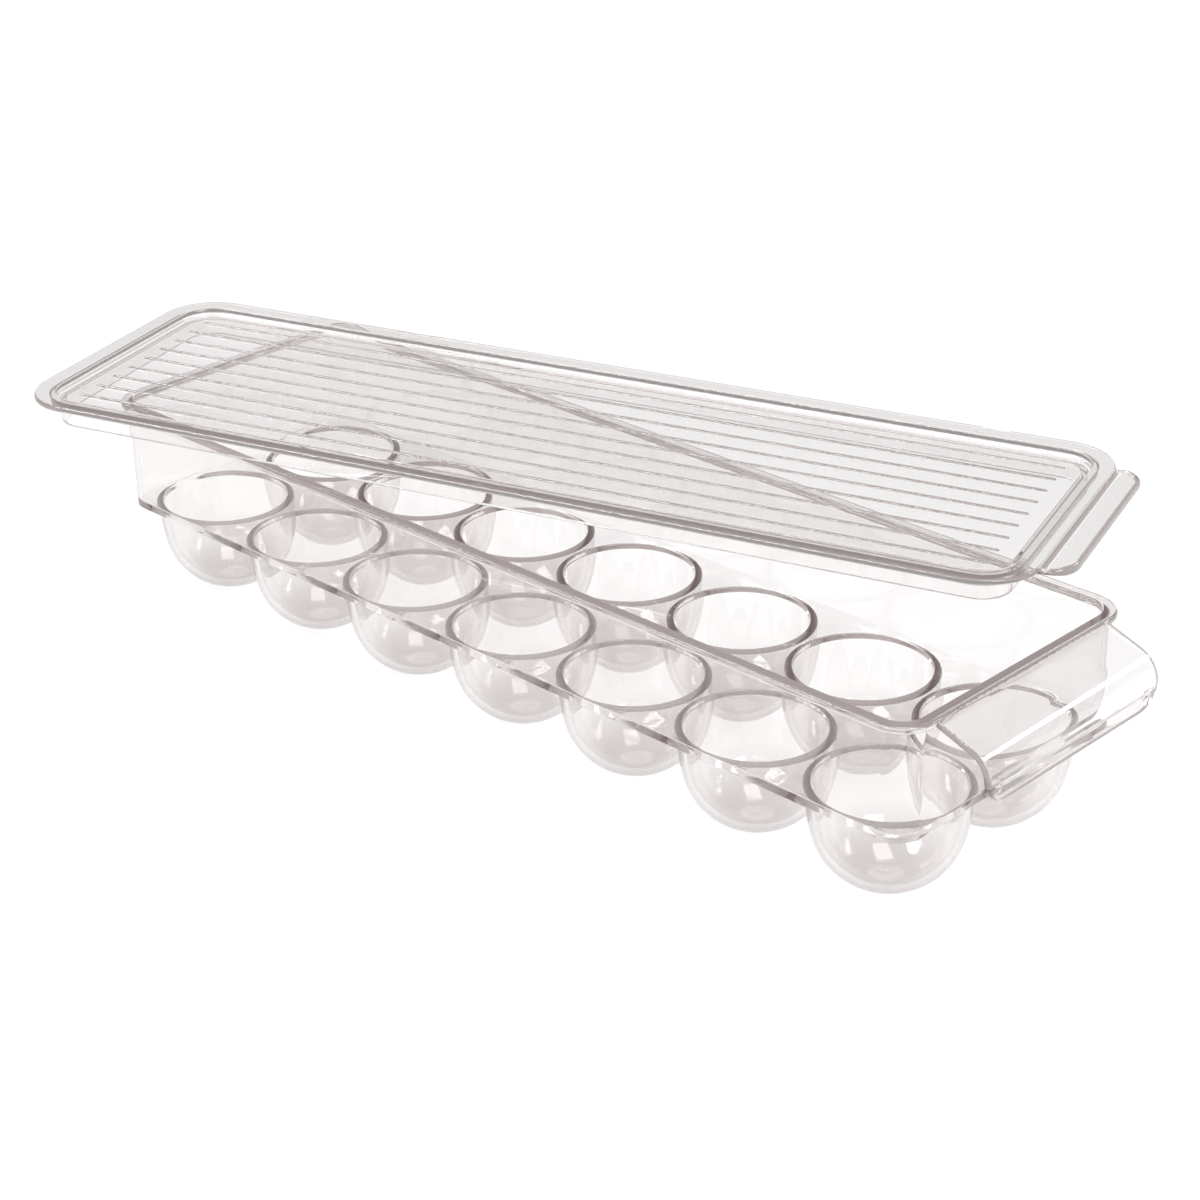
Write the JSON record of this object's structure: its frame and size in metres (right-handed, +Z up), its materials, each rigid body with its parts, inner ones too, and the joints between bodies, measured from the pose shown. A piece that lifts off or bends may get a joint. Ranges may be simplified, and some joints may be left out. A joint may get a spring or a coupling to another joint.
{
  "type": "egg keeper with lid",
  "caption": "Clear refrigerator egg keeper: a two-row tray of round egg cups with a scoop handle, and a loose ribbed lid with a pull tab lying turned across its rim.",
  "frame": {"origin": "centre of the two rows of cups, on the plane the cups stand on", "axes": "+X along the tray towards the scoop handle, +Y across the tray, +Z up"},
  "size_m": [0.4082, 0.2082, 0.0812],
  "materials": {
    "cup_plastic": "clear, polished",
    "floor_plastic": "clear, polished",
    "tray_plastic": "clear, polished",
    "rim_plastic": "clear, polished",
    "handle_plastic": "clear, polished",
    "lid_plastic": "clear, polished",
    "rib_plastic": "clear, polished",
    "lid_rim_plastic": "clear, polished"
  },
  "bodies": {
    "tray": {"tray_floor": "floor_plastic", "egg_cup_01": "cup_plastic", "egg_cup_02": "cup_plastic", "egg_cup_03": "cup_plastic", "egg_cup_04": "cup_plastic", "egg_cup_05": "cup_plastic", "egg_cup_06": "cup_plastic", "egg_cup_07": "cup_plastic", "egg_cup_08": "cup_plastic", "egg_cup_09": "cup_plastic", "egg_cup_10": "cup_plastic", "egg_cup_11": "cup_plastic", "egg_cup_12": "cup_plastic", "egg_cup_13": "cup_plastic", "egg_cup_14": "cup_plastic", "tray_wall": "tray_plastic", "tray_rim": "rim_plastic", "scoop_handle": "handle_plastic", "handle_lip": "handle_plastic"},
    "lid": {"lid_panel": "lid_plastic", "lid_ribs": "rib_plastic", "lid_rim": "lid_rim_plastic", "lid_skirt": "lid_plastic", "pull_tab": "lid_rim_plastic", "tab_bead": "lid_rim_plastic"}
  },
  "joints": [
    {"name": "lid_lift", "type": "slide", "parent": "tray", "child": "lid", "axis": [0, 0, 1], "range_m": [0, 0.12]}
  ]
}
